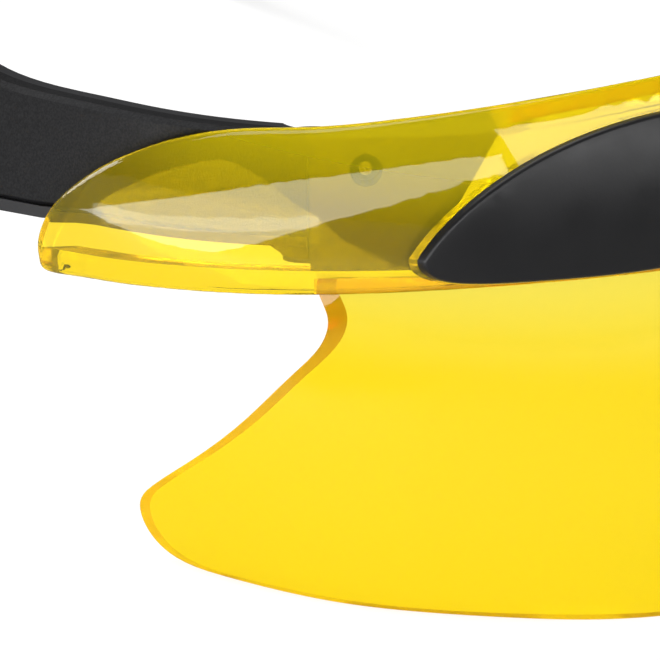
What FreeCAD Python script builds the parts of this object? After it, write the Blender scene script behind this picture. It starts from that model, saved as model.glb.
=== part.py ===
import FreeCAD, Part
import math
import os

os.makedirs("parts", exist_ok=True)
V = FreeCAD.Vector

# ---- Driving dimensions, in millimetres and degrees ----
# The pieces are drawn with the temples level.  Heights are counted from the lowest point of the
# lens, and lengths along Y from the widest line of the face curve.  The finished glasses are then
# tilted back until the temple tips touch the floor, as they lie on a table.

# Face curve seen from above: half an ellipse that runs on straight at the corners
FACE_HALF_WIDTH = 70.5
FACE_REACH = 49.0

# Moulded brow frame
BROW_CROWN_RADIUS = 26.0
BROW_CROWN_HEIGHT = 43.0
BROW_TOP_CORNER = 51.2
BROW_TOP_RISE = 5.1
BROW_LOW_MIDDLE = 36.35
BROW_LOW_CORNER = 36.0
BROW_DEPTH = 7.2
BROW_EDGE_ROUND = 0.9
BROW_BACK_BEVEL = 0.9
HOOD_TAPER_START = -16.0
HOOD_END = 4.9
HOOD_TAPER_LENGTH = 21.3
HOOD_END_ROUND = 1.0

# Pocket in each hood for the hinge
POCKET_WALL = 3.0
POCKET_FLOOR = 38.4
POCKET_FRONT_TURN = 50.8
POCKET_FRONT_HEIGHT = 40.0
POCKET_SLOPE_RUN = 5.6
POCKET_SLOPE_RISE = 9.0
BOSS_TURN = 57.0
BOSS_HEIGHT = 47.6
BOSS_RADIUS = 1.5
BOSS_END = 6.0

# Wrap-round lens: a shell between two flattened domes
LENS_INSET = 3.6
LENS_CENTRE_HEIGHT = 31.0
LENS_THICKNESS = 2.2
LENS_TOP = 37.7
LENS_SIDE_EDGE = -20.8
LENS_CORNER_ROUND = 3.0
GROOVE_PLAY = 0.08

# Soft brow pads
PAD_PROUD = 0.7
PAD_SUNK = 0.8
PAD_EDGE_ROUND = 0.55

# Hinge
SEAM_TURN = 62.6
SEAM_GAP = 0.3
HINGE_INSET = 8.2
KNUCKLE_RADIUS = 2.8
KNUCKLE_CLEARANCE = 0.3
EAR_LOW = 38.8
KNUCKLE_LOW = 42.7
KNUCKLE_HIGH = 47.6
EAR_HIGH = 51.0
KNUCKLE_GAP = 0.15
PIN_RADIUS = 0.8
PIN_RUNNING_CLEARANCE = 0.05
PIN_HEAD_RADIUS = 1.5
PIN_HEAD_HEIGHT = 0.9
NUT_FLATS = 3.0
NUT_HEIGHT = 1.6
SLOT_WIDTH = 0.5
SLOT_DEPTH = 0.4
BLOCK_PLAY = 0.06
BLOCK_INSET = 8.0
BLOCK_TOP = 50.6

# Screw that holds the hinge block to the frame
BLOCK_SCREW_RADIUS = 0.6
BLOCK_SCREW_HEAD_RADIUS = 1.3
BLOCK_SCREW_HEAD_HEIGHT = 0.8
BLOCK_SCREW_TIP = 3.9

# Temples
TEMPLE_OUTER_INSET = 3.3
TEMPLE_THICKNESS = 4.0
SHELL_THICKNESS = 2.1
TEMPLE_REAR = 98.6
TEMPLE_REAR_INSET = 6.3
STRIP_HEIGHT = 1.15
TEMPLE_EDGE_BEVEL = 0.5
TIP_EDGE_BEVEL = 0.9
TIP_START = 57.0
TIP_START_HEIGHT = 42.8
TIP_FALL = 18.0
TONGUE_LENGTH = 24.0
TIP_HEEL = 94.2
TIP_LOW = 31.7
CORD_HOLE_RADIUS = 1.2
CORD_HOLE_PLACE = 91.6
CORD_HOLE_HEIGHT = 34.5

# Nose parts
NOSE_HALF_WIDTH = 8.6
NOSE_TOP = 24.5
NOSE_BAND = 3.6
NOSE_BAND_THICKNESS = 1.9
NOSE_PAD_LENGTH = 17.0
NOSE_PAD_DEPTH = 8.5
NOSE_PAD_THICKNESS = 2.4
NOSE_PAD_SPREAD = 3.6
NOSE_PAD_BACK = 8.4
NOSE_PAD_HEIGHT = 13.5

LENS_HALF_WIDTH = FACE_HALF_WIDTH - LENS_INSET
LENS_REACH = FACE_REACH - LENS_INSET
OUTER_FACE_X = -FACE_HALF_WIDTH + TEMPLE_OUTER_INSET
INNER_FACE_X = OUTER_FACE_X + TEMPLE_THICKNESS


# ---- Shared helpers ----

def face_point(turn, inset, height):
    """A point beside the face curve; turn is 0 at the nose and 90 at the corner, then mm beyond."""
    if turn > 90:
        return V(-FACE_HALF_WIDTH + inset, turn - 90, height)
    angle = math.radians(turn)
    x = -FACE_HALF_WIDTH * math.sin(angle)
    y = -FACE_REACH * math.cos(angle)
    outward = face_normal(turn)
    return V(x, y, height) - outward * inset


def face_normal(turn):
    """Level direction that points out of the face curve."""
    if turn > 90:
        return V(-1, 0, 0)
    angle = math.radians(turn)
    outward = V(-math.sin(angle) / FACE_HALF_WIDTH, -math.cos(angle) / FACE_REACH, 0)
    outward.normalize()
    return outward


def face_tangent(turn):
    """Level direction along the face curve, from the nose to the corner."""
    outward = face_normal(turn)
    return V(outward.y, -outward.x, 0)


def crown_inset(height, proud):
    """How far the crowned brow surface lies behind the face curve at a height."""
    radius = BROW_CROWN_RADIUS + proud
    rise = height - BROW_CROWN_HEIGHT
    return BROW_CROWN_RADIUS - math.sqrt(radius * radius - rise * rise)


def brow_low(turn):
    """Height of the frame's lower edge."""
    fall = min(max((turn - 42) / 28, 0), 1)
    eased = fall * fall * (3 - 2 * fall)
    return BROW_LOW_MIDDLE - (BROW_LOW_MIDDLE - BROW_LOW_CORNER) * eased


def brow_high(turn):
    """Height of the frame's upper edge: falls from the nose, then rounds down to the hood's end."""
    front = math.cos(math.radians(min(turn * 1.125, 90)))
    high = BROW_TOP_CORNER + BROW_TOP_RISE * front * front
    along = face_point(turn, 0, 0).y
    if along < HOOD_TAPER_START:
        return high
    reach = (along - HOOD_TAPER_START) / HOOD_TAPER_LENGTH
    low = brow_low(turn)
    return low + (high - low) * math.sqrt(1 - reach ** 1.5)


def upright(place, outward, point):
    """Point of an upright section: its X is the distance inwards and its Y the height."""
    return place - outward * point.x + V(0, 0, point.y)


def crown_corner(edge_height, side, radius, sunk):
    """Round between the crowned face and a level edge: its two ends and its crest, as (inset, height)."""
    reach = BROW_CROWN_RADIUS - sunk - radius
    height = edge_height - side * radius
    rise = height - BROW_CROWN_HEIGHT
    centre = V(BROW_CROWN_RADIUS - math.sqrt(reach * reach - rise * rise), height, 0)
    axis = V(BROW_CROWN_RADIUS, BROW_CROWN_HEIGHT, 0)
    out = (centre - axis).normalize()
    level = V(0, side, 0)
    crest = centre + (out + level).normalize() * radius
    return centre + out * radius, crest, centre + level * radius


def brow_section(turn, sunk):
    """Closed section across the band: crowned outside, straight inside, rounded along its edges."""
    low = brow_low(turn) + sunk
    high = brow_high(turn) - sunk
    edge_round = min(BROW_EDGE_ROUND, 0.3 * (high - low))
    bevel = min(BROW_BACK_BEVEL, 0.4 * (high - low))
    foot_on, foot_crest, foot_level = crown_corner(low, -1, edge_round, sunk)
    head_on, head_crest, head_level = crown_corner(high, 1, edge_round, sunk)
    middle = (foot_on.y + head_on.y) / 2
    belly = V(crown_inset(middle, -sunk), middle, 0)
    depth = BROW_DEPTH - sunk
    back_top = V(depth - bevel, high, 0)
    back_side = V(depth, high - bevel, 0)
    back_foot = V(depth, low, 0)
    place = face_point(turn, 0, 0)
    outward = face_normal(turn)
    edges = []
    bends = [(foot_level, foot_crest, foot_on), (foot_on, belly, head_on)]
    bends += [(head_on, head_crest, head_level)]
    for bend in bends:
        start, crest, end = [upright(place, outward, point) for point in bend]
        edges.append(Part.Arc(start, crest, end).toShape())
    straights = [(head_level, back_top), (back_top, back_side)]
    straights += [(back_side, back_foot), (back_foot, foot_level)]
    for start, end in straights:
        edges.append(Part.makeLine(upright(place, outward, start), upright(place, outward, end)))
    return Part.Wire(Part.__sortEdges__(edges))


def outline_prism(points, direction):
    """Prism of a closed smooth-or-straight outline along a direction."""
    wire = Part.makePolygon(points + [points[0]])
    return Part.Face(wire).extrude(direction)


def curve_edge(points):
    """Smooth edge through a few points."""
    curve = Part.BSplineCurve()
    curve.interpolate(points)
    return curve.toShape()


def ring_prism(turn_from, turn_to, inset_out, inset_in, low, high):
    """Curved wall that follows the face curve between two insets."""
    steps = 14
    outer = []
    inner = []
    for step in range(steps + 1):
        turn = turn_from + (turn_to - turn_from) * step / steps
        outer.append(face_point(turn, inset_out, low))
        inner.append(face_point(turn, inset_in, low))
    edges = [curve_edge(outer), Part.makeLine(outer[-1], inner[-1])]
    edges += [curve_edge(inner), Part.makeLine(inner[0], outer[0])]
    wire = Part.Wire(Part.__sortEdges__(edges))
    return Part.Face(wire).extrude(V(0, 0, high - low))


def mirrored(shape):
    """The same piece for the other side of the face."""
    return shape.mirror(V(0, 0, 0), V(1, 0, 0))


def one_solid(shape):
    """The single solid a cut or a join leaves behind."""
    solids = sorted(shape.Solids, key=lambda solid: solid.Volume)
    return solids[-1]


def hinge_axis(height):
    return face_point(SEAM_TURN, HINGE_INSET, height)


def seam_side(behind):
    """Large block in front of the seam, or behind it with the running gap."""
    along = face_tangent(SEAM_TURN)
    outward = face_normal(SEAM_TURN)
    start = face_point(SEAM_TURN, 0, 0) + outward * 40
    if behind:
        start = start + along * SEAM_GAP
        push = along * 150
    else:
        push = along * -60
    corner = start - V(0, 0, 20)
    across = outward * -200
    points = [corner, corner + across, corner + across + V(0, 0, 100), corner + V(0, 0, 100)]
    return outline_prism(points, push)


# ---- Brow frame ----

def brow_stations():
    """Places along the band, as in face_point, each with how far its outline is drawn in."""
    stations = [(turn, 0) for turn in (0, 11, 22, 33, 44, 54, 63, 71, 79, 85, 90)]
    for share in (0.0, 0.5, 0.8, 0.95, 1.0):
        drawn_in = HOOD_END_ROUND * (1 - math.sqrt(1 - share * share))
        stations.append((90 + HOOD_END - HOOD_END_ROUND * (1 - share), drawn_in * 0.8))
    return stations


def brow_body():
    """Right half of the crowned band; its outline is drawn in at the rear end to round it."""
    sections = [brow_section(turn, drawn_in) for turn, drawn_in in brow_stations()]
    return Part.makeLoft(sections, True, False)


def pocket_space(wall, floor):
    """Space behind the hood's wall, from its slanted front end back past the hood's end."""
    ring = ring_prism(40, 90, wall, 16, floor, 70)
    tail = Part.makeBox(16 - wall, 8, 70 - floor, V(-FACE_HALF_WIDTH + wall, 0, floor))
    along = face_tangent(POCKET_FRONT_TURN)
    outward = face_normal(POCKET_FRONT_TURN)
    foot = face_point(POCKET_FRONT_TURN, 0, POCKET_FRONT_HEIGHT) + outward * 15
    slope = V(0, 0, POCKET_SLOPE_RISE) - along * POCKET_SLOPE_RUN
    low = foot - slope * 1.5
    high = foot + slope * 3
    behind = outline_prism([low, high, high + along * 60, low + along * 80], outward * -70)
    return ring.fuse(tail).removeSplitter().common(behind)


def boss_line(inset):
    """Point on the axis of the moulded boss that takes the block's screw."""
    return face_point(BOSS_TURN, inset, BOSS_HEIGHT)


def along_boss(radius, inset_from, inset_to):
    direction = face_normal(BOSS_TURN) * -1
    return Part.makeCylinder(radius, inset_to - inset_from, boss_line(inset_from), direction)


def frame_half():
    """Right half of the frame with its hood pocket, boss and lens groove."""
    half = brow_body()
    half = half.cut(pocket_space(POCKET_WALL, POCKET_FLOOR))
    half = half.fuse(along_boss(BOSS_RADIUS, POCKET_WALL - 0.8, BOSS_END))
    half = half.cut(along_boss(BLOCK_SCREW_RADIUS, BLOCK_SCREW_TIP, BOSS_END + 1))
    half = half.cut(lens_groove())
    half = half.cut(brow_pad_blank())
    return one_solid(half)


def brow_frame():
    half = frame_half()
    return one_solid(half.fuse(mirrored(half)))


# ---- Lens ----

def dome(shrink):
    """Front half of a flattened ball, from just under the lens to just over it."""
    wide = LENS_HALF_WIDTH - shrink
    deep = LENS_REACH - shrink
    bottom = math.degrees(math.asin((-3 - LENS_CENTRE_HEIGHT) / wide))
    top = math.degrees(math.asin((LENS_TOP + 6 - LENS_CENTRE_HEIGHT) / wide))
    ball = Part.makeSphere(wide, V(0, 0, 0), V(0, 0, 1), bottom, top, 180)
    ball.rotate(V(0, 0, 0), V(0, 0, 1), 180)
    flatten = FreeCAD.Matrix()
    flatten.scale(1, deep / wide, 1)
    ball = ball.transformGeometry(flatten)
    ball.translate(V(0, 0, LENS_CENTRE_HEIGHT))
    return ball


def lens_side_outline():
    """Outline of the lens seen from the side, as a prism right across the face."""
    side = [(LENS_SIDE_EDGE, LENS_TOP), (LENS_SIDE_EDGE - 0.1, 35.6), (LENS_SIDE_EDGE - 0.8, 33.4)]
    side += [(-21.2, 31.0), (-19.0, 28.0), (-14.9, 23.4), (-9.8, 19.1), (-5.3, 16.0)]
    side += [(-3.3, 13.9), (-3.5, 11.2), (-5.2, 9.0), (-10.5, 7.0), (-20.0, 4.6)]
    side += [(-30.0, 2.3), (-37.0, 0.35), (-44.0, 0.0), (-55.0, 0.0)]
    points = [V(-90, y, z) for y, z in side]
    corner = V(-90, -55.0, LENS_TOP)
    front = Part.makeLine(points[-1], corner)
    top = Part.makeLine(corner, points[0])
    wire = Part.Wire([curve_edge(points), front, top])
    return Part.Face(wire).extrude(V(180, 0, 0))


def nose_arch(grow, reach):
    """Prism of the nose opening seen from the front."""
    half = NOSE_HALF_WIDTH + grow
    top = NOSE_TOP + grow
    points = [
        V(-half - 11, -60, -6),
        V(-half - 4.2, -60, 3),
        V(-half, -60, 12.5),
        V(0, -60, top),
        V(half, -60, 12.5),
        V(half + 4.2, -60, 3),
        V(half + 11, -60, -6),
    ]
    arch = curve_edge(points)
    wire = Part.Wire([arch, Part.makeLine(points[-1], points[0])])
    return Part.Face(wire).extrude(V(0, reach, 0))


def lens():
    """Shell between two flattened balls, cut to its outline and to the nose opening."""
    shell = dome(0).cut(dome(LENS_THICKNESS))
    shell = shell.common(lens_side_outline())
    shell = one_solid(shell.cut(nose_arch(0, 60)))
    corners = []
    for edge in shell.Edges:
        box = edge.BoundBox
        if box.ZMax < 3 and abs(box.XMin + box.XMax) < 50 and edge.Length < LENS_THICKNESS * 1.6:
            corners.append(edge)
    return shell.makeFillet(LENS_CORNER_ROUND, corners)


def lens_groove():
    """Upright groove under the brow, a little wider than the top edge of the lens."""
    rise = (LENS_TOP - LENS_CENTRE_HEIGHT) / LENS_HALF_WIDTH
    inner_share = math.sqrt(1 - rise * rise)
    outer = elliptic_column(LENS_HALF_WIDTH + GROOVE_PLAY, LENS_REACH + GROOVE_PLAY)
    within = LENS_THICKNESS + GROOVE_PLAY
    inner = elliptic_column((LENS_HALF_WIDTH - within) * inner_share, (LENS_REACH - within) * inner_share)
    slab = Part.makeBox(180, 60 + LENS_SIDE_EDGE + GROOVE_PLAY, 30, V(-90, -60, 20))
    return outer.cut(inner).common(slab)


def elliptic_column(wide, deep):
    """Upright column with the flattened plan of the lens, up to the lens's top edge."""
    plan = Part.Ellipse(V(0, 0, 20), wide, deep).toShape()
    return Part.Face(Part.Wire([plan])).extrude(V(0, 0, LENS_TOP - 20))


# ---- Soft brow pads ----

def leaf_prism():
    """Leaf outline of the right pad seen from the front, placed along the half width of the face."""
    lower = [(0.789, 39.6), (0.782, 38.3), (0.766, 37.5), (0.736, 37.0), (0.671, 36.8)]
    lower += [(0.482, 36.9), (0.298, 38.8), (0.113, 45.4)]
    upper = [(0.113, 45.4), (0.27, 50.0), (0.475, 51.7), (0.565, 50.8)]
    upper += [(0.664, 48.4), (0.749, 44.1), (0.776, 41.6), (0.789, 39.6)]
    edges = []
    for side in (lower, upper):
        points = [V(-share * FACE_HALF_WIDTH, -FACE_REACH - 20, height) for share, height in side]
        edges.append(curve_edge(points))
    return Part.Face(Part.Wire(edges)).extrude(V(0, FACE_REACH + 10, 0))


def brow_pad_blank():
    """Right pad before its edges are rounded; the frame's seat is cut with the same body."""
    sections = []
    for step in range(0, 15):
        turn = 4.5 * step
        section = pad_section(turn, 34, 56)
        sections.append(section)
    band = Part.makeLoft(sections, True, False)
    return one_solid(band.common(leaf_prism()))


def pad_section(turn, low, high):
    """Section of the pad's band: both faces follow the crown of the frame."""
    middle = (low + high) / 2
    outer = []
    inner = []
    for height in (low, middle, high):
        outer.append(face_point(turn, crown_inset(height, PAD_PROUD), height))
        inner.append(face_point(turn, crown_inset(height, -PAD_SUNK), height))
    front = Part.Arc(outer[0], outer[1], outer[2]).toShape()
    back = Part.Arc(inner[2], inner[1], inner[0]).toShape()
    top = Part.makeLine(outer[2], inner[2])
    bottom = Part.makeLine(inner[0], outer[0])
    return Part.Wire([front, top, back, bottom])


def brow_pad():
    blank = brow_pad_blank()
    rim = []
    for edge in blank.Edges:
        middle = edge.valueAt((edge.FirstParameter + edge.LastParameter) / 2)
        if edge.Length > 5 and lies_proud(middle):
            rim.append(edge)
    return blank.makeFillet(PAD_EDGE_ROUND, rim)


def lies_proud(point):
    """True for a point in front of the frame's crowned surface."""
    best = 1000.0
    for step in range(0, 2401):
        turn = step * 0.025
        gap = (face_point(turn, crown_inset(point.z, PAD_PROUD), point.z) - point).Length
        best = min(best, gap)
    return best < 0.05


# ---- Hinge block ----

def hinge_cylinder(radius, low, high):
    return Part.makeCylinder(radius, high - low, hinge_axis(low))


def hinge_plate(corners, low, high):
    """Flat plate by the hinge; each corner is counted outwards from the pin and back along the seam."""
    outward = face_normal(SEAM_TURN)
    along = face_tangent(SEAM_TURN)
    points = []
    for out, back in corners:
        points.append(hinge_axis(low) + outward * out + along * back)
    return outline_prism(points, V(0, 0, high - low))


def hinge_block():
    """Block that fills the front of the hood pocket and carries the two outer ears of the hinge."""
    ring = ring_prism(38, 66, POCKET_WALL + BLOCK_PLAY, BLOCK_INSET, POCKET_FLOOR, BLOCK_TOP)
    block = ring.common(pocket_space(POCKET_WALL, POCKET_FLOOR)).common(seam_side(False))
    gusset = [(-2.0, 0), (-2.0, -2.2), (0.6, -7.5), (2.0, -7.5), (2.0, 0)]
    ears = [(EAR_LOW, KNUCKLE_LOW - KNUCKLE_GAP), (KNUCKLE_HIGH + KNUCKLE_GAP, EAR_HIGH)]
    for low, high in ears:
        block = block.fuse(hinge_cylinder(KNUCKLE_RADIUS, low, high))
        block = block.fuse(hinge_plate(gusset, low, min(high, BLOCK_TOP)))
    room = KNUCKLE_RADIUS + KNUCKLE_CLEARANCE
    block = block.cut(hinge_cylinder(room, KNUCKLE_LOW - KNUCKLE_GAP, KNUCKLE_HIGH + KNUCKLE_GAP))
    block = block.cut(along_boss(BOSS_RADIUS, POCKET_WALL - 1, BOSS_END))
    block = block.cut(block_screw_blank()).cut(hinge_screw_blank()).cut(hinge_nut_blank())
    return one_solid(block.removeSplitter())


# ---- Screws and nut ----

def hinge_screw_blank():
    """Hinge pin: a headed screw through both ears and the temple's knuckle."""
    shank = hinge_cylinder(PIN_RADIUS, EAR_LOW, EAR_HIGH)
    head = hinge_cylinder(PIN_HEAD_RADIUS, EAR_HIGH - PIN_HEAD_HEIGHT, EAR_HIGH)
    return shank.fuse(head)


def hinge_screw():
    along = face_tangent(SEAM_TURN)
    half = SLOT_WIDTH / 2
    reach = PIN_HEAD_RADIUS + 0.5
    corners = [(-half, -reach), (half, -reach), (half, reach), (-half, reach)]
    slot = hinge_plate(corners, EAR_HIGH - SLOT_DEPTH, EAR_HIGH + 1)
    return one_solid(hinge_screw_blank().removeSplitter().cut(slot))


def hinge_nut_blank():
    """Hexagon nut let into the lower ear."""
    corner = NUT_FLATS / 2 / math.cos(math.radians(30))
    points = []
    for step in range(6):
        angle = math.radians(60 * step)
        points.append(hinge_axis(EAR_LOW) + V(math.cos(angle), math.sin(angle), 0) * corner)
    return outline_prism(points, V(0, 0, NUT_HEIGHT))


def hinge_nut():
    return one_solid(hinge_nut_blank().cut(hinge_cylinder(PIN_RADIUS, EAR_LOW - 1, EAR_HIGH)))


def block_screw_blank():
    """Small screw driven from the wearer's side through the block into the boss."""
    shank = along_boss(BLOCK_SCREW_RADIUS, BLOCK_SCREW_TIP, BLOCK_INSET)
    head_from = BLOCK_INSET - BLOCK_SCREW_HEAD_HEIGHT
    head = along_boss(BLOCK_SCREW_HEAD_RADIUS, head_from, BLOCK_INSET + 0.3)
    return shank.fuse(head)


def block_screw():
    outward = face_normal(BOSS_TURN)
    half = V(0, 0, SLOT_WIDTH / 2)
    reach = face_tangent(BOSS_TURN) * 2.5
    face = boss_line(BLOCK_INSET + 0.3)
    points = [face - reach - half, face + reach - half, face + reach + half, face - reach + half]
    slot = outline_prism(points, outward * SLOT_DEPTH)
    return one_solid(block_screw_blank().removeSplitter().cut(slot))


# ---- Temples ----

def temple_line(inset, height):
    """Smooth plan line of the temple, the given distance in from its outer face."""
    outer = TEMPLE_OUTER_INSET + inset
    points = []
    for step in range(0, 9):
        points.append(face_point(56 + step * 4, outer, height))
    for back in (10, 26, 42):
        points.append(V(-FACE_HALF_WIDTH + outer, back, height))
    turn_in = TEMPLE_REAR_INSET - TEMPLE_OUTER_INSET
    for part in (0.35, 0.7, 1.05):
        back = 50 + (TEMPLE_REAR - 50) * part
        points.append(V(-FACE_HALF_WIDTH + outer + turn_in * part * part, back, height))
    return points


def temple_ring(inset_from, inset_to):
    """Upright wall that follows the temple's plan line between two depths."""
    outer = temple_line(inset_from, -5)
    inner = temple_line(inset_to, -5)
    edges = [curve_edge(outer), Part.makeLine(outer[-1], inner[-1])]
    edges += [curve_edge(inner), Part.makeLine(inner[0], outer[0])]
    wire = Part.Wire(Part.__sortEdges__(edges))
    return Part.Face(wire).extrude(V(0, 0, 75))


def temple_side(lift_low, lift_high):
    """Temple outline seen from the side, as a prism; the two edges can be moved up."""
    upper = [(-40, 49.8), (-22, 50.9), (-10, 51.6), (2, 52.3), (9.8, 52.7), (14.2, 53.5)]
    upper += [(18.6, 55.1), (26, 57.1), (35, 57.1), (44, 54.6), (54, 49.3), (63, 44.0)]
    upper += [(71, 40.4), (79, 38.4), (88, 37.4), (94, 36.9)]
    lower = [(-40, 39.1), (-20, 39.2), (-8.5, 39.6), (0, 40.1), (14, 40.5), (30, 40.9)]
    lower += [(42, 40.3), (54, 38.2), (66, 35.4), (78, 33.3), (88, 32.2), (TIP_HEEL, TIP_LOW)]
    points = [V(-90, y, z + lift_high) for y, z in upper]
    points += [V(-90, TEMPLE_REAR, 34.3 + lift_high)]
    points += [V(-90, y, z + lift_low) for y, z in reversed(lower)]
    wire = Part.Wire([curve_edge(points), Part.makeLine(points[-1], points[0])])
    return Part.Face(wire).extrude(V(80, 0, 0))


def behind_tip_seam(shift):
    """Everything behind the slanted line where the soft tip starts."""
    along, up = tip_directions()
    foot = V(-90, TIP_START, TIP_START_HEIGHT) + along * shift
    points = [foot - up * 40, foot + up * 40, foot + up * 40 + along * 90, foot - up * 40 + along * 90]
    return outline_prism(points, V(80, 0, 0))


def tip_directions():
    """Directions along the falling tip and square to it, seen from the side."""
    fall = math.radians(TIP_FALL)
    return V(0, math.cos(fall), -math.sin(fall)), V(0, math.sin(fall), math.cos(fall))


def tongue():
    """Thin core of the temple that the soft tip is pushed onto."""
    along, up = tip_directions()
    foot = V(-90, TIP_START, TIP_START_HEIGHT) - along * 0.01
    end = foot + along * TONGUE_LENGTH
    points = [foot - up * 1.8, foot + up * 1.8, end + up * 1.2, end - up * 1.2]
    slab = outline_prism(points, V(80, 0, 0))
    return slab.common(temple_ring(1.3, 2.7))


def temple_whole():
    """Full body of the temple from the seam to its rear end, cleared for the hinge ears."""
    whole = temple_ring(0, TEMPLE_THICKNESS).common(temple_side(0, 0))
    whole = one_solid(whole.common(seam_side(True)))
    room = KNUCKLE_RADIUS + KNUCKLE_CLEARANCE
    whole = whole.cut(hinge_cylinder(room, 30, KNUCKLE_LOW))
    whole = whole.cut(hinge_cylinder(room, KNUCKLE_HIGH, 70))
    return one_solid(whole)


def long_edges(piece, least_x, most_x):
    """Long edges whose outermost point lies between two distances from the middle of the face."""
    return [edge for edge in piece.Edges
            if edge.Length > 60 and least_x < edge.BoundBox.XMin < most_x]


def temple_pieces():
    """Outer shell, inner half with the knuckle, and soft rear tip."""
    whole = temple_whole()
    rear = behind_tip_seam(0)
    front = one_solid(whole.cut(rear))
    split = temple_ring(-3, SHELL_THICKNESS).common(temple_side(STRIP_HEIGHT, 6))
    outer = one_solid(front.common(split))
    inner = one_solid(front.cut(split))
    inner = inner.fuse(hinge_cylinder(KNUCKLE_RADIUS, KNUCKLE_LOW, KNUCKLE_HIGH))
    gusset = [(-1.8, 2.1), (0.2, 8.0), (1.4, 8.0), (2.4, 0.6)]
    inner = inner.fuse(hinge_plate(gusset, KNUCKLE_LOW, KNUCKLE_HIGH))
    core = tongue()
    inner = inner.fuse(core)
    bore = PIN_RADIUS + PIN_RUNNING_CLEARANCE
    inner = one_solid(inner.cut(hinge_cylinder(bore, KNUCKLE_LOW - 1, KNUCKLE_HIGH + 1)))
    outer = one_solid(outer.cut(inner))
    outer = outer.makeChamfer(TEMPLE_EDGE_BEVEL, long_edges(outer, -90, OUTER_FACE_X + 0.2))
    inner = inner.makeChamfer(TEMPLE_EDGE_BEVEL, long_edges(inner, INNER_FACE_X - 0.3, -50))
    tip = one_solid(whole.common(rear))
    tip = tip.makeChamfer(TIP_EDGE_BEVEL, [edge for edge in tip.Edges if edge.Length > 20])
    tip = tip.cut(core)
    start = V(OUTER_FACE_X - 2, CORD_HOLE_PLACE, CORD_HOLE_HEIGHT)
    hole = Part.makeCylinder(CORD_HOLE_RADIUS, 20, start, V(1, 0, 0))
    tip = one_solid(tip.cut(hole))
    return outer, inner, tip


# ---- Nose parts ----

def nose_pad():
    """Soft pad: a rounded plate that leans with the side of the nose."""
    size = V(NOSE_PAD_THICKNESS, NOSE_PAD_DEPTH, NOSE_PAD_LENGTH)
    plate = Part.makeBox(size.x, size.y, size.z, V(-size.x / 2, -size.y / 2, -size.z / 2))
    plate = plate.makeFillet(1.0, plate.Edges)
    plate.rotate(V(0, 0, 0), V(0, 1, 0), 16)
    plate.rotate(V(0, 0, 0), V(0, 0, 1), 24)
    plate.translate(V(-NOSE_HALF_WIDTH - NOSE_PAD_SPREAD, NOSE_PAD_BACK - LENS_REACH, NOSE_PAD_HEIGHT))
    return one_solid(plate.common(dome(LENS_THICKNESS)))


def nose_bridge():
    """Band behind the lens round the nose opening; the two pads sit in it."""
    band = dome(LENS_THICKNESS).cut(dome(LENS_THICKNESS + NOSE_BAND_THICKNESS))
    arch = nose_arch(NOSE_BAND, 60).cut(nose_arch(0.4, 60))
    arch = arch.common(Part.makeBox(80, 60, 40, V(-40, -60, 4.5)))
    band = band.common(arch)
    pad = nose_pad()
    return one_solid(band.cut(pad).cut(mirrored(pad)))


# ---- Whole object ----

def pair(name, shape):
    """A piece and its mirror image, each with its name."""
    return [(name + "_right", shape), (name + "_left", mirrored(shape))]


def surface_points(shape):
    return shape.tessellate(0.05)[0]


def lowest(points, tilt):
    """Lowest height among the points once they are tilted back."""
    return min(point.z * math.cos(tilt) - point.y * math.sin(tilt) for point in points)


def lying_length(point, tilt):
    """Place of a point along the floor once it is tilted back."""
    return point.y * math.cos(tilt) + point.z * math.sin(tilt)


def rest_tilt(front_points, rear_points):
    """Tilt, in radians, at which the lens and the temple tips stand equally low."""
    tilt = 0
    for trial in range(8):
        lift = lowest(rear_points, tilt) - lowest(front_points, tilt)
        tilt = tilt + lift / (TIP_HEEL - LENS_SIDE_EDGE)
    return tilt


arm_shell, arm_inner, arm_tip = temple_pieces()
lens_shell = lens()
right_pad = brow_pad()

pieces = [("brow_frame", brow_frame()), ("lens", lens_shell), ("nose_bridge", nose_bridge())]
pieces += pair("nose_pad", nose_pad()) + pair("brow_pad", right_pad)
pieces += pair("hinge_block", hinge_block()) + pair("block_screw", block_screw())
pieces += pair("hinge_screw", hinge_screw()) + pair("hinge_nut", hinge_nut())
pieces += pair("temple_arm", arm_shell) + pair("temple_liner", arm_inner) + pair("temple_tip", arm_tip)

lens_points = surface_points(lens_shell)
pad_points = surface_points(right_pad)
tip_points = surface_points(arm_tip)
tilt = rest_tilt(lens_points, tip_points)
floor_height = min(lowest(lens_points, tilt), lowest(tip_points, tilt))
front_end = min(lying_length(point, tilt) for point in lens_points + pad_points)
rear_end = max(lying_length(point, tilt) for point in tip_points)
middle = (front_end + rear_end) / 2

for name, shape in pieces:
    placed = shape.copy()
    placed.rotate(V(0, 0, 0), V(1, 0, 0), -math.degrees(tilt))
    placed.translate(V(0, -middle, -floor_height))
    placed.exportStep("parts/" + name + ".step")
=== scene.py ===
import math

import bpy
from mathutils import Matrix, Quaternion, Vector


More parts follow.
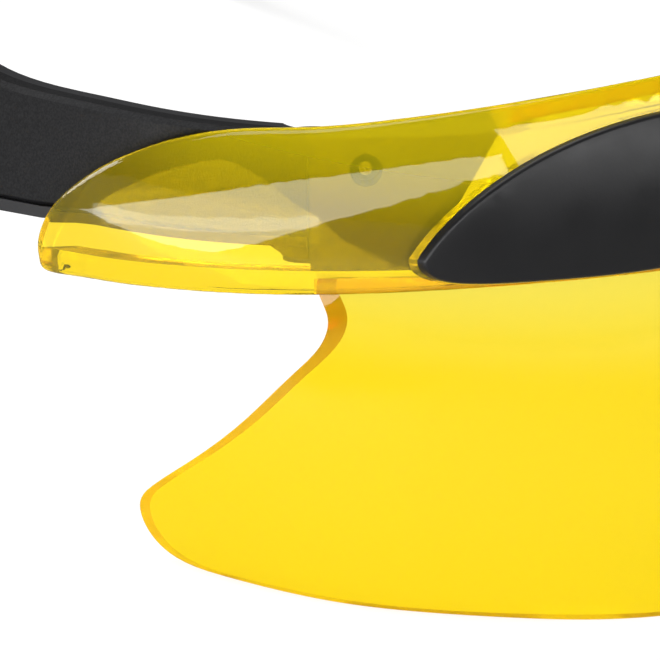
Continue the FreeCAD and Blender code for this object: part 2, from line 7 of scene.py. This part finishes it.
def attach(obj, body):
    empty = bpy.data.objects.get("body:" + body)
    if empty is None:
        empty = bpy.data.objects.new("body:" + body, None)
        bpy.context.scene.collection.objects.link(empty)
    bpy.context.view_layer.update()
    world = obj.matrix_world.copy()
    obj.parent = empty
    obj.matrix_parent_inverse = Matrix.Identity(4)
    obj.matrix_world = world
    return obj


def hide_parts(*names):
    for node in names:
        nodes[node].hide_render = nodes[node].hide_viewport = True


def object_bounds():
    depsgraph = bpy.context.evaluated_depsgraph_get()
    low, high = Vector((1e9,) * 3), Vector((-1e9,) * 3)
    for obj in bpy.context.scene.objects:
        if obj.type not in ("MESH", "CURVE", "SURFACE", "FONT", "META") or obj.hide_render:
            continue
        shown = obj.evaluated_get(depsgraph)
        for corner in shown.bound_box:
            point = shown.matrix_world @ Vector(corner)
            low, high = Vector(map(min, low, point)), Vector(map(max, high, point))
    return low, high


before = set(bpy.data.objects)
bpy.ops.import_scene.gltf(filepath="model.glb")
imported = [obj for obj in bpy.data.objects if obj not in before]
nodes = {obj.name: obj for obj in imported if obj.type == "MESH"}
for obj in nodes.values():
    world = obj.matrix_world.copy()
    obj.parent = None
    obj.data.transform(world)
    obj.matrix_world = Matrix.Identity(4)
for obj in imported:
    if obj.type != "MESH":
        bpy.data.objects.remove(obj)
cad_low, cad_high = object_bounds()
MM = 0.001


# ---- Lens ----
# One wrap-round shield moulded in clear yellow polycarbonate, 2.2 mm thick and polished on both
# faces.  Its top edge is held in the groove of the brow frame.  The dye makes long paths through
# the plastic run from yellow to orange, and the moulded edges scatter more light than the faces.
FACE_HALF_WIDTH = 70.5
FACE_REACH = 49.0
NOISE_LOW = 0.3
NOISE_HIGH = 0.7
POLYCARBONATE_INDEX = 1.585
POLISH_FINEST = 0.015
POLISH_COARSEST = 0.05
SMEAR_SIZE = 9 * MM
RIPPLE_SIZE = 14 * MM
RIPPLE_DEPTH = 0.03 * MM
RIPPLE_STRENGTH = 0.3
LENS_TINT = (1.0, 0.87, 0.02, 1.0)
# A painted highlight: towards the top of the lens its tint turns pale.
LENS_PAINTED_PALE_TOP = (1.0, 1.0, 1.0, 1.0)
LENS_PAINTED_PALE_FROM = 23 * MM
LENS_PAINTED_PALE_TO = 35 * MM
LENS_DYE = (1.0, 0.955, 0.0, 1.0)
LENS_DYE_DENSITY = 900.0
LENS_HAZE_COLOUR = (1.0, 0.74, 0.006, 1.0)
LENS_HAZE = 0.16
LENS_EDGE_HAZE = 0.62
LENS_EDGE_LIMIT = 0.35
LENS_FACE_LIMIT = 0.75
LENS_MIDDLE = (0.0, -24.2 * MM, 0.0)
LENS_SPREAD = (1.0 / FACE_HALF_WIDTH ** 2, 1.0 / FACE_REACH ** 2, 0.0)


def new_material(name):
    """An empty node material and its output node."""
    material = bpy.data.materials.new(name)
    material.use_nodes = True
    material.node_tree.nodes.clear()
    output = material.node_tree.nodes.new("ShaderNodeOutputMaterial")
    return material, output


def place_noise(material, size, detail=3.0, stretch=(1.0, 1.0, 1.0)):
    """Noise on Object coordinates, with lumps of about the given size in metres."""
    tree = material.node_tree
    place = tree.nodes.new("ShaderNodeTexCoord")
    mapping = tree.nodes.new("ShaderNodeMapping")
    mapping.inputs["Scale"].default_value = stretch
    noise = tree.nodes.new("ShaderNodeTexNoise")
    noise.inputs["Scale"].default_value = 1.0 / size
    noise.inputs["Detail"].default_value = detail
    tree.links.new(place.outputs["Object"], mapping.inputs["Vector"])
    tree.links.new(mapping.outputs["Vector"], noise.inputs["Vector"])
    return noise.outputs["Fac"]


def spread_out(material, value, value_from, value_to, low, high, smooth=False):
    """A value carried over from one range to another, and held at the ends."""
    tree = material.node_tree
    spread = tree.nodes.new("ShaderNodeMapRange")
    if smooth:
        spread.interpolation_type = "SMOOTHSTEP"
    spread.inputs["From Min"].default_value = value_from
    spread.inputs["From Max"].default_value = value_to
    spread.inputs["To Min"].default_value = low
    spread.inputs["To Max"].default_value = high
    tree.links.new(value, spread.inputs["Value"])
    return spread.outputs["Result"]


def between(material, noise, low, high):
    """A noise value spread over a range."""
    return spread_out(material, noise, NOISE_LOW, NOISE_HIGH, low, high)


def rising(material, height_from, height_to, low, high):
    """A value that changes smoothly with the height above the table."""
    tree = material.node_tree
    place = tree.nodes.new("ShaderNodeTexCoord")
    axes = tree.nodes.new("ShaderNodeSeparateXYZ")
    tree.links.new(place.outputs["Object"], axes.inputs["Vector"])
    return spread_out(material, axes.outputs["Z"], height_from, height_to, low, high, smooth=True)


def bump(material, height, depth, strength, under=None):
    """Relief of the given depth in metres, over any relief already made."""
    tree = material.node_tree
    relief = tree.nodes.new("ShaderNodeBump")
    relief.inputs["Distance"].default_value = depth
    relief.inputs["Strength"].default_value = strength
    tree.links.new(height, relief.inputs["Height"])
    if under is not None:
        tree.links.new(under, relief.inputs["Normal"])
    return relief.outputs["Normal"]


def mixed(material, first, second, share=0.5):
    """Two shaders mixed; the share of the second is a number or another node's value."""
    tree = material.node_tree
    mix = tree.nodes.new("ShaderNodeMixShader")
    if isinstance(share, float):
        mix.inputs["Fac"].default_value = share
    else:
        tree.links.new(share, mix.inputs["Fac"])
    tree.links.new(first, mix.inputs[1])
    tree.links.new(second, mix.inputs[2])
    return mix.outputs["Shader"]


def clear_yellow(material, output, dye, density, haze_colour, haze):
    """Polished, dyed polycarbonate: clear, with a little light scattered inside it."""
    tree = material.node_tree
    clear = tree.nodes.new("ShaderNodeBsdfPrincipled")
    clear.inputs["Transmission Weight"].default_value = 1.0
    clear.inputs["IOR"].default_value = POLYCARBONATE_INDEX
    smears = place_noise(material, SMEAR_SIZE, detail=4.0)
    polish = between(material, smears, POLISH_FINEST, POLISH_COARSEST)
    tree.links.new(polish, clear.inputs["Roughness"])
    ripple = place_noise(material, RIPPLE_SIZE, detail=1.0)
    relief = bump(material, ripple, RIPPLE_DEPTH, RIPPLE_STRENGTH)
    tree.links.new(relief, clear.inputs["Normal"])
    through = tree.nodes.new("ShaderNodeBsdfTranslucent")
    through.inputs["Color"].default_value = haze_colour
    back = tree.nodes.new("ShaderNodeBsdfDiffuse")
    back.inputs["Color"].default_value = haze_colour
    cloud = mixed(material, through.outputs["BSDF"], back.outputs["BSDF"])
    skin = mixed(material, clear.outputs["BSDF"], cloud, haze)
    tree.links.new(skin, output.inputs["Surface"])
    absorb = tree.nodes.new("ShaderNodeVolumeAbsorption")
    absorb.inputs["Color"].default_value = dye
    absorb.inputs["Density"].default_value = density
    tree.links.new(absorb.outputs["Volume"], output.inputs["Volume"])
    return clear


def reckoned(material, operation, first, second=None):
    """One step of vector arithmetic on a node's value, with another value or a plain vector."""
    tree = material.node_tree
    step = tree.nodes.new("ShaderNodeVectorMath")
    step.operation = operation
    tree.links.new(first, step.inputs[0])
    if isinstance(second, tuple):
        step.inputs[1].default_value = second
    elif second is not None:
        tree.links.new(second, step.inputs[1])
    return step.outputs["Value" if operation == "DOT_PRODUCT" else "Vector"]


def edge_haze(material):
    """A slight haze on the faces, which follow an ellipse in plan, and a strong one on the edges."""
    tree = material.node_tree
    place = tree.nodes.new("ShaderNodeTexCoord")
    outward = reckoned(material, "SUBTRACT", place.outputs["Object"], LENS_MIDDLE)
    outward = reckoned(material, "MULTIPLY", outward, LENS_SPREAD)
    outward = reckoned(material, "NORMALIZE", outward)
    facing = reckoned(material, "DOT_PRODUCT", outward, place.outputs["Normal"])
    squareness = tree.nodes.new("ShaderNodeMath")
    squareness.operation = "ABSOLUTE"
    tree.links.new(facing, squareness.inputs[0])
    return spread_out(material, squareness.outputs["Value"], LENS_EDGE_LIMIT, LENS_FACE_LIMIT,
                      LENS_EDGE_HAZE, LENS_HAZE)


def finish_node(node, material):
    """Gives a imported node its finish."""
    nodes[node].material_slots[0].material = material


lens_material, lens_output = new_material("lens_clear_yellow")
lens_tree = lens_material.node_tree
lens_clear = clear_yellow(lens_material, lens_output, LENS_DYE, LENS_DYE_DENSITY,
                          LENS_HAZE_COLOUR, edge_haze(lens_material))
# The tint is painted paler towards the top. This is a painted highlight that stands for the brighter
# light coming through the lens just under the brow.
lens_tint_painted_pale_top = lens_tree.nodes.new("ShaderNodeMix")
lens_tint_painted_pale_top.data_type = "RGBA"
lens_tint_painted_pale_top.inputs["A"].default_value = LENS_TINT
lens_tint_painted_pale_top.inputs["B"].default_value = LENS_PAINTED_PALE_TOP
lens_tree.links.new(rising(lens_material, LENS_PAINTED_PALE_FROM, LENS_PAINTED_PALE_TO, 0.0, 1.0),
                    lens_tint_painted_pale_top.inputs["Factor"])
lens_tree.links.new(lens_tint_painted_pale_top.outputs["Result"], lens_clear.inputs["Base Color"])
finish_node("lens", lens_material)


# ---- Brow frame and hoods ----
# The upper frame is a second, thicker moulding in the same clear yellow plastic.  At each end it
# turns into a hollow hood over the hinge, and it snaps over the top edge of the lens.
# Behind its front rim, the top face falls back a little.
REST_LEAN = 13.4525
REST_MIDDLE = 32.3762
REST_LIFT = 8.9096
BROW_TOP_CORNER = 51.2
BROW_TOP_RISE = 5.1
BROW_TOP_TURN = 1.125
BROW_TOP_SKIN = 1.0
BROW_TOP_FLAT = 3.0
BROW_TOP_DEPTH = 5.0
BROW_TOP_FALL = 0.5
BROW_SMOOTH_ANGLE = 24
OTHER_SMOOTH_ANGLE = 32
FRAME_TINT = (1.0, 0.74, 0.10, 1.0)
FRAME_DYE = (1.0, 0.98, 0.0, 1.0)
FRAME_DYE_DENSITY = 380.0
FRAME_HAZE_COLOUR = (1.0, 0.91, 0.003, 1.0)
# The haze is painted thinner low down, which gives the lower hoods a painted shade.
FRAME_HAZE_IN_PAINTED_SHADE = 0.09
FRAME_HAZE_HIGH = 0.30
FRAME_PAINTED_SHADE_FROM = 37 * MM
FRAME_PAINTED_SHADE_TO = 46 * MM
WELD_DISTANCE = 0.002 * MM

frame_material, frame_output = new_material("frame_clear_yellow")
# Painted shade: the haze thins towards the bottom, so the lower part of each hood renders darker.
frame_haze_with_painted_shade = rising(frame_material, FRAME_PAINTED_SHADE_FROM, FRAME_PAINTED_SHADE_TO, FRAME_HAZE_IN_PAINTED_SHADE, FRAME_HAZE_HIGH)
frame_clear = clear_yellow(frame_material, frame_output, FRAME_DYE, FRAME_DYE_DENSITY,
                           FRAME_HAZE_COLOUR, frame_haze_with_painted_shade)
frame_clear.inputs["Base Color"].default_value = FRAME_TINT


def as_worn(point):
    """A point of the resting glasses, in mm, with the temples level and the widest line at 0."""
    lean = math.radians(REST_LEAN)
    along = point.y / MM + REST_MIDDLE
    up = point.z / MM + REST_LIFT
    return (point.x / MM, along * math.cos(lean) - up * math.sin(lean),
            up * math.cos(lean) + along * math.sin(lean))


def lower(point, drop):
    """Moves a point of the resting glasses down by a drop in mm, square to the level temples."""
    lean = math.radians(REST_LEAN)
    point.y -= drop * MM * math.sin(lean)
    point.z -= drop * MM * math.cos(lean)


def merged_copy(node, name, body, material, smooth_angle=OTHER_SMOOTH_ANGLE):
    """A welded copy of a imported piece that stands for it, so that its shape can be finished."""
    bpy.ops.object.select_all(action="DESELECT")
    piece = bpy.data.objects.new(name, nodes[node].data.copy())
    bpy.context.scene.collection.objects.link(piece)
    bpy.context.view_layer.objects.active = piece
    piece.select_set(True)
    bpy.ops.object.mode_set(mode="EDIT")
    bpy.ops.mesh.select_all(action="SELECT")
    bpy.ops.mesh.remove_doubles(threshold=WELD_DISTANCE)
    bpy.ops.object.mode_set(mode="OBJECT")
    bpy.ops.mesh.customdata_custom_splitnormals_clear()
    bpy.ops.object.shade_smooth_by_angle(angle=math.radians(smooth_angle))
    piece.data.materials.clear()
    piece.data.materials.append(material)
    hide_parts(node)
    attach(piece, body)
    return piece


def slope_top(piece):
    """Lets the crowned top face fall back, from a little way behind the front of the brow."""
    for vertex in piece.data.vertices:
        x, along, up = as_worn(vertex.co)
        curve = (x / FACE_HALF_WIDTH) ** 2 + (along / FACE_REACH) ** 2
        steepness = 2 * math.hypot(x / FACE_HALF_WIDTH ** 2, along / FACE_REACH ** 2)
        depth = (1 - curve) / steepness
        turn = math.atan2(abs(x) / FACE_HALF_WIDTH, -along / FACE_REACH)
        crown = BROW_TOP_CORNER + BROW_TOP_RISE * math.cos(BROW_TOP_TURN * turn) ** 2
        if up > crown - BROW_TOP_SKIN and depth > BROW_TOP_FLAT:
            lower(vertex.co, BROW_TOP_FALL * min(depth - BROW_TOP_FLAT, BROW_TOP_DEPTH))


band = merged_copy("brow_frame", "brow_band", "front", frame_material,
                   BROW_SMOOTH_ANGLE)
slope_top(band)


# ---- Brow pads ----
# Two leaf-shaped inserts of soft black elastomer, which sit in recesses on the front of the brow
# frame.  Each is a hair smaller than its recess.
LEAF_PLAY = 0.03 * MM
PAD_BLACK = (0.004, 0.004, 0.005, 1.0)
PAD_ROUGHNESS = 0.38
ELASTOMER_SHADE = 0.82
ELASTOMER_SPECULAR = 0.42
ELASTOMER_SHEEN = 0.06
ELASTOMER_SHEEN_ROUGHNESS = 0.5
ELASTOMER_SMOOTHER = 0.05
ELASTOMER_ROUGHER = 0.06
SKIN_GRAIN_SIZE = 0.35 * MM
SKIN_GRAIN_DEPTH = 0.02 * MM
SKIN_GRAIN_STRENGTH = 0.35
SKIN_WAVE_SIZE = 6 * MM
SKIN_WAVE_DEPTH = 0.12 * MM
SKIN_WAVE_STRENGTH = 0.2


def soft_black(name, colour, roughness):
    """Matt elastomer with the faint unevenness of a moulded skin."""
    material, output = new_material(name)
    tree = material.node_tree
    skin = tree.nodes.new("ShaderNodeBsdfPrincipled")
    fine = place_noise(material, SKIN_GRAIN_SIZE, detail=2.0)
    broad = place_noise(material, SKIN_WAVE_SIZE)
    shade = tree.nodes.new("ShaderNodeMix")
    shade.data_type = "RGBA"
    shade.inputs["A"].default_value = tuple(ELASTOMER_SHADE * c for c in colour[:3]) + (1.0,)
    shade.inputs["B"].default_value = colour
    tree.links.new(broad, shade.inputs["Factor"])
    tree.links.new(shade.outputs["Result"], skin.inputs["Base Color"])
    uneven = between(material, broad, roughness - ELASTOMER_SMOOTHER, roughness + ELASTOMER_ROUGHER)
    tree.links.new(uneven, skin.inputs["Roughness"])
    skin.inputs["Specular IOR Level"].default_value = ELASTOMER_SPECULAR
    skin.inputs["Sheen Weight"].default_value = ELASTOMER_SHEEN
    skin.inputs["Sheen Roughness"].default_value = ELASTOMER_SHEEN_ROUGHNESS
    relief = bump(material, fine, SKIN_GRAIN_DEPTH, SKIN_GRAIN_STRENGTH)
    relief = bump(material, broad, SKIN_WAVE_DEPTH, SKIN_WAVE_STRENGTH, relief)
    tree.links.new(relief, skin.inputs["Normal"])
    tree.links.new(skin.outputs["BSDF"], output.inputs["Surface"])
    return material


pad_material = soft_black("pad_soft_black", PAD_BLACK, PAD_ROUGHNESS)
for side in ("right", "left"):
    merged_copy("brow_pad_" + side, "leaf_pad_" + side, "front", pad_material)
    bpy.ops.object.mode_set(mode="EDIT")
    bpy.ops.mesh.select_all(action="SELECT")
    bpy.ops.transform.shrink_fatten(value=-LEAF_PLAY)
    bpy.ops.object.mode_set(mode="OBJECT")


# ---- Hinge blocks ----
# Black nylon blocks, each held in the front of a hood by one screw.  Two ears on each carry the
# hinge pin, and the upper ear sits under the rim of the hood.
HINGE_OUT = 56.018
HINGE_ALONG = -17.648
EAR_REACH = 3.2
EAR_SHOULDER = 49.5
EAR_DROP = 0.9
BLOCK_BLACK = (0.045, 0.045, 0.045, 1.0)
BLOCK_ROUGHNESS = 0.45
NYLON_SMOOTHER = 0.05
NYLON_ROUGHER = 0.07
FLOW_SIZE = 2.5 * MM
FLOW_STRETCH = (1.0, 0.4, 1.0)
SINK_SIZE = 4 * MM
SINK_DEPTH = 0.05 * MM
SINK_STRENGTH = 0.3


def black_nylon(name, colour, roughness):
    """Satin nylon as it comes from a polished mould."""
    material, output = new_material(name)
    tree = material.node_tree
    skin = tree.nodes.new("ShaderNodeBsdfPrincipled")
    skin.inputs["Base Color"].default_value = colour
    flow = place_noise(material, FLOW_SIZE, stretch=FLOW_STRETCH)
    uneven = between(material, flow, roughness - NYLON_SMOOTHER, roughness + NYLON_ROUGHER)
    tree.links.new(uneven, skin.inputs["Roughness"])
    sink = place_noise(material, SINK_SIZE, detail=2.0)
    tree.links.new(bump(material, sink, SINK_DEPTH, SINK_STRENGTH), skin.inputs["Normal"])
    tree.links.new(skin.outputs["BSDF"], output.inputs["Surface"])
    return material


def by_hinge(x, along):
    """True for a place within the round of the hinge ears, on either side of the face."""
    return math.hypot(abs(x) - HINGE_OUT, along - HINGE_ALONG) < EAR_REACH


def sink_ear(piece):
    """Sets the upper hinge ear and the screw's head a little below the rim of the hood."""
    for vertex in piece.data.vertices:
        x, along, up = as_worn(vertex.co)
        if up > EAR_SHOULDER and by_hinge(x, along):
            lower(vertex.co, EAR_DROP)


block_material = black_nylon("block_black_nylon", BLOCK_BLACK, BLOCK_ROUGHNESS)
for side in ("right", "left"):
    block = merged_copy("hinge_block_" + side, "hood_block_" + side, "front",
                        block_material)
    sink_ear(block)


# ---- Screws and nuts ----
# Bright machined steel.  One small screw holds each block to its hood, and a second screw with a
# nut is the pin that each temple folds on.
STEEL_GREY = (0.60, 0.60, 0.62, 1.0)
STEEL_FINEST = 0.2
STEEL_COARSEST = 0.36
TURNING_SIZE = 0.3 * MM

steel, steel_output = new_material("screw_steel")
steel_skin = steel.node_tree.nodes.new("ShaderNodeBsdfPrincipled")
steel_skin.inputs["Base Color"].default_value = STEEL_GREY
steel_skin.inputs["Metallic"].default_value = 1.0
turned = place_noise(steel, TURNING_SIZE, detail=2.0)
steel.node_tree.links.new(between(steel, turned, STEEL_FINEST, STEEL_COARSEST),
                          steel_skin.inputs["Roughness"])
steel.node_tree.links.new(steel_skin.outputs["BSDF"], steel_output.inputs["Surface"])
for side in ("right", "left"):
    for part in ("block_screw_", "hinge_nut_"):
        finish_node(part + side, steel)
    pin = merged_copy("hinge_screw_" + side, "hinge_pin_" + side, "front", steel)
    sink_ear(pin)


# ---- Temples ----
# Each temple is an outer shell with a fine spark-eroded grain, clipped to a smooth nylon inner
# half that carries the hinge knuckle.  A soft black tip is moulded over the rear end, and the root
# is shallower inside the hood.
GRAIN_SIZE = 0.22 * MM
GRAIN_DEPTH = 0.06 * MM
GRAIN_STRENGTH = 0.5
GRAIN_CLOUD_SIZE = 5 * MM
GRAIN_FINEST = 0.50
GRAIN_COARSEST = 0.62
GRAIN_DARK = (0.004, 0.004, 0.005, 1.0)
GRAIN_DARK_FROM = 0.35
GRAIN_PALE = (0.014, 0.014, 0.015, 1.0)
GRAIN_PALE_FROM = 0.68
GRAIN_SPECULAR = 0.25
LINER_BLACK = (0.024, 0.024, 0.026, 1.0)
LINER_ROUGHNESS = 0.42
TIP_BLACK = (0.018, 0.018, 0.020, 1.0)
TIP_ROUGHNESS = 0.55
ROOT_FROM = 9.0
ROOT_FULL = -2.0
ROOT_LOW = 39.2
ROOT_HIGH = 45.0
ROOT_LIFT = 1.4

grain, grain_output = new_material("temple_fine_grain")
grain_tree = grain.node_tree
grain_skin = grain_tree.nodes.new("ShaderNodeBsdfPrincipled")
speckle = place_noise(grain, GRAIN_SIZE)
cloud = place_noise(grain, GRAIN_CLOUD_SIZE)
grain_shade = grain_tree.nodes.new("ShaderNodeValToRGB")
grain_shade.color_ramp.elements[0].position = GRAIN_DARK_FROM
grain_shade.color_ramp.elements[0].color = GRAIN_DARK
grain_shade.color_ramp.elements[1].position = GRAIN_PALE_FROM
grain_shade.color_ramp.elements[1].color = GRAIN_PALE
grain_skin.inputs["Specular IOR Level"].default_value = GRAIN_SPECULAR
grain_tree.links.new(speckle, grain_shade.inputs["Fac"])
grain_tree.links.new(grain_shade.outputs["Color"], grain_skin.inputs["Base Color"])
grain_tree.links.new(between(grain, cloud, GRAIN_FINEST, GRAIN_COARSEST),
                     grain_skin.inputs["Roughness"])
grain_tree.links.new(bump(grain, speckle, GRAIN_DEPTH, GRAIN_STRENGTH),
                     grain_skin.inputs["Normal"])
grain_tree.links.new(grain_skin.outputs["BSDF"], grain_output.inputs["Surface"])
liner_material = black_nylon("liner_black_nylon", LINER_BLACK, LINER_ROUGHNESS)
tip_material = soft_black("tip_soft_black", TIP_BLACK, TIP_ROUGHNESS)


def lift_root(piece):
    """Raises the lower edge of the temple's root inside the hood, all but the hinge knuckle."""
    for vertex in piece.data.vertices:
        x, along, up = as_worn(vertex.co)
        if up > ROOT_HIGH or along > ROOT_FROM or by_hinge(x, along):
            continue
        reach = min(1.0, (ROOT_FROM - along) / (ROOT_FROM - ROOT_FULL))
        eased = reach * reach * (3.0 - 2.0 * reach)
        share = min(1.0, (ROOT_HIGH - up) / (ROOT_HIGH - ROOT_LOW))
        lower(vertex.co, -ROOT_LIFT * eased * share)


for side in ("right", "left"):
    shell = merged_copy("temple_arm_" + side, "arm_shell_" + side, "temple_" + side,
                        grain)
    inner_half = merged_copy("temple_liner_" + side, "arm_inner_" + side, "temple_" + side,
                             liner_material)
    lift_root(shell)
    lift_root(inner_half)
    finish_node("temple_tip_" + side, tip_material)


# ---- Nose pads and bridge ----
# A soft band lines the nose opening of the lens, with one pad on each side behind it, all in the
# same matt elastomer.
NOSE_BLACK = (0.022, 0.022, 0.024, 1.0)
NOSE_ROUGHNESS = 0.52

nose_material = soft_black("nose_soft_black", NOSE_BLACK, NOSE_ROUGHNESS)
for node in ("nose_bridge", "nose_pad_right", "nose_pad_left"):
    finish_node(node, nose_material)


# ---- Floor and surroundings ----
# A plain white sweep under soft studio lights.  Seen directly or through the plastic, the floor is
# near white with a faint shadow; it lights the glasses from below as a mid grey.
WHITE = (1.0, 1.0, 1.0, 1.0)
FLOOR_SIZE = 3.0
FLOOR_GAP = 0.2 * MM
FLOOR_PAINT = 0.32
FLOOR_SHADED = 0.22
FLOOR_SHINE = 0.85
ROOM_LIGHT = 0.50
ROOM_MIRROR = 0.10
ROOM_SEEN = 1.0


def directly_seen(tree):
    """1 for rays straight from the camera and for rays that have come through the plastic."""
    rays = tree.nodes.new("ShaderNodeLightPath")
    seen = tree.nodes.new("ShaderNodeMath")
    seen.operation = "MAXIMUM"
    tree.links.new(rays.outputs["Is Camera Ray"], seen.inputs[0])
    tree.links.new(rays.outputs["Is Transmission Ray"], seen.inputs[1])
    return seen.outputs["Value"]


white, white_output = new_material("plain_white_floor")
white_tree = white.node_tree
paint = white_tree.nodes.new("ShaderNodeBsdfDiffuse")
paint.inputs["Color"].default_value = (FLOOR_PAINT, FLOOR_PAINT, FLOOR_PAINT, 1.0)
shaded = white_tree.nodes.new("ShaderNodeBsdfDiffuse")
shaded.inputs["Color"].default_value = (FLOOR_SHADED, FLOOR_SHADED, FLOOR_SHADED, 1.0)
shine = white_tree.nodes.new("ShaderNodeEmission")
shine.inputs["Color"].default_value = WHITE
shine.inputs["Strength"].default_value = FLOOR_SHINE
both = white_tree.nodes.new("ShaderNodeAddShader")
white_tree.links.new(shaded.outputs["BSDF"], both.inputs[0])
white_tree.links.new(shine.outputs["Emission"], both.inputs[1])
white_tree.links.new(mixed(white, paint.outputs["BSDF"], both.outputs["Shader"],
                           directly_seen(white_tree)), white_output.inputs["Surface"])

bpy.ops.object.select_all(action="DESELECT")
bpy.ops.mesh.primitive_plane_add(size=FLOOR_SIZE, location=(0, 0, cad_low.z - FLOOR_GAP))
floor = bpy.context.object
floor.name = "floor"
floor.data.materials.append(white)
bpy.ops.object.transform_apply(location=True, rotation=True, scale=True)

world = bpy.data.worlds.new("white_room")
world.use_nodes = True
bpy.context.scene.world = world
room = world.node_tree
room.nodes.clear()
backdrops = []
for strength in (ROOM_LIGHT, ROOM_MIRROR, ROOM_SEEN):
    backdrop = room.nodes.new("ShaderNodeBackground")
    backdrop.inputs["Color"].default_value = WHITE
    backdrop.inputs["Strength"].default_value = strength
    backdrops.append(backdrop.outputs["Background"])
room_rays = room.nodes.new("ShaderNodeLightPath")
unseen = mixed(world, backdrops[0], backdrops[1], room_rays.outputs["Is Glossy Ray"])
room_output = room.nodes.new("ShaderNodeOutputWorld")
room.links.new(mixed(world, unseen, backdrops[2], directly_seen(room)),
               room_output.inputs["Surface"])


def softbox(name, place, aim, size, lean, brightness):
    """A rectangular studio light of the given brightness that faces a point."""
    lamp = bpy.data.lights.new(name, "AREA")
    lamp.shape = "RECTANGLE"
    lamp.size = size[0]
    lamp.size_y = size[1]
    lamp.energy = brightness * math.pi * size[0] * size[1]
    holder = bpy.data.objects.new(name, lamp)
    holder.location = place
    facing = (Vector(aim) - Vector(place)).to_track_quat("-Z", "Y")
    facing = facing @ Quaternion((0.0, 0.0, 1.0), math.radians(lean))
    holder.rotation_euler = facing.to_euler()
    holder.visible_camera = False
    bpy.context.scene.collection.objects.link(holder)


softbox("strip_softbox", place=(-0.147, -0.165, 0.0830), aim=(0.0, -0.165, 0.0830),
        size=(0.42, 0.040), lean=29, brightness=4.6)
softbox("edge_softbox", place=(-0.146, -0.045, 0.018), aim=(0.0, -0.045, 0.018),
        size=(0.13, 0.010), lean=13, brightness=2.2)
softbox("front_softbox", place=(0.02, -0.80, 0.46), aim=(-0.04, -0.05, 0.04),
        size=(0.60, 0.36), lean=0, brightness=4.0)
softbox("rear_softbox", place=(-0.22, 0.46, 0.13), aim=(-0.07, -0.02, 0.03),
        size=(0.50, 0.20), lean=0, brightness=5.0)
softbox("overhead_softbox", place=(-0.10, 0.25, 0.75), aim=(-0.05, -0.02, 0.04),
        size=(0.7, 0.5), lean=0, brightness=2.6)


# ---- Camera ----
# A very long lens near the right hood, from the front right and above.  The camera leans with the
# glasses, which rest tilted back on the lens and the ear tips.
CAMERA_TARGET = Vector((-0.052311, -0.041380, 0.024419))
CAMERA_DISTANCE = 0.900
CAMERA_TURN = math.radians(-53.646)
CAMERA_RISE = math.radians(21.481)
CAMERA_LEAN = math.radians(11.014)
CAMERA_FOCAL_LENGTH = 521.67
CAMERA_SENSOR_WIDTH = 36.0
CAMERA_NEAREST = 0.01

offset = Vector((math.sin(CAMERA_TURN) * math.cos(CAMERA_RISE),
                 -math.cos(CAMERA_TURN) * math.cos(CAMERA_RISE),
                 math.sin(CAMERA_RISE)))
eye = bpy.data.cameras.new("camera")
eye.lens = CAMERA_FOCAL_LENGTH
eye.sensor_width = CAMERA_SENSOR_WIDTH
eye.clip_start = CAMERA_NEAREST
viewer = bpy.data.objects.new("camera", eye)
viewer.location = CAMERA_TARGET + offset * CAMERA_DISTANCE
looking = (-offset).to_track_quat("-Z", "Y") @ Quaternion((0.0, 0.0, 1.0), CAMERA_LEAN)
viewer.rotation_euler = looking.to_euler()
bpy.context.scene.collection.objects.link(viewer)
bpy.context.scene.camera = viewer
bpy.context.scene.view_settings.view_transform = "Standard"
